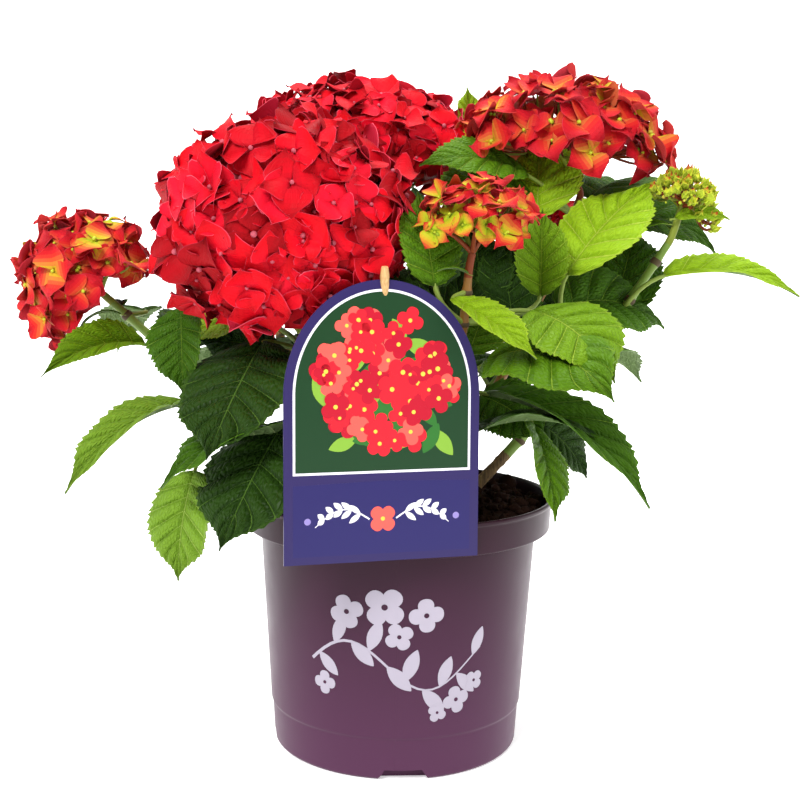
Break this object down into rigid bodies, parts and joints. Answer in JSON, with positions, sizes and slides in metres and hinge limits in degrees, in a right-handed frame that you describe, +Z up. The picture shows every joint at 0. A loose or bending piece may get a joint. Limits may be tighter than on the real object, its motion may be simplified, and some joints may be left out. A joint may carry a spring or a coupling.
{
  "type": "potted hydrangea shrub",
  "caption": "Red mophead hydrangea shrub in flower, in a round plastic nursery pot, with a picture card on a bamboo cane.",
  "frame": {"origin": "centre of the pot's flat underside, on the surface that it stands on", "axes": "+Z up; -Y is the side that the picture card faces; +X is to the right seen from that side"},
  "size_m": [0.5647, 0.3599, 0.5013],
  "materials": {
    "pot_plastic": "injection-moulded polypropylene, satin, dark wine purple",
    "peat": "moist dark peat compost with bark chips, crumbly",
    "bamboo": "split bamboo cane, dry, pale tan",
    "card_film": "printed plastic card, violet, satin",
    "bark": "young ridged bark, greenish brown",
    "leaf_green": "living leaf, quilted and serrated, satin green",
    "petal_red": "living sepals, soft scarlet red",
    "petal_orange_red": "opening sepals, red with orange and yellow-green bases",
    "bud_green": "opening buds, yellow-green with red tips"
  },
  "bodies": {
    "root": {"pot": "pot_plastic", "compost": "peat", "label_cane": "bamboo", "picture_card": "card_film", "stem_front_left": "bark", "foliage_front_left": "leaf_green", "flower_head_front_left": "petal_red", "stem_back_middle": "bark", "foliage_back_middle": "leaf_green", "flower_head_back_middle": "petal_red", "stem_far_left": "bark", "foliage_far_left": "leaf_green", "flower_head_far_left": "petal_orange_red", "stem_back_right": "bark", "foliage_back_right": "leaf_green", "flower_head_back_right": "petal_orange_red", "stem_front_middle": "bark", "foliage_front_middle": "leaf_green", "flower_head_front_middle": "petal_orange_red", "stem_far_right": "bark", "foliage_far_right": "leaf_green", "flower_head_far_right": "bud_green", "stem_rear_right": "bark", "foliage_rear_right": "leaf_green", "flower_head_rear_right": "petal_red", "stem_rear_left": "bark", "foliage_rear_left": "leaf_green", "flower_head_rear_left": "petal_red"}
  },
  "joints": []
}
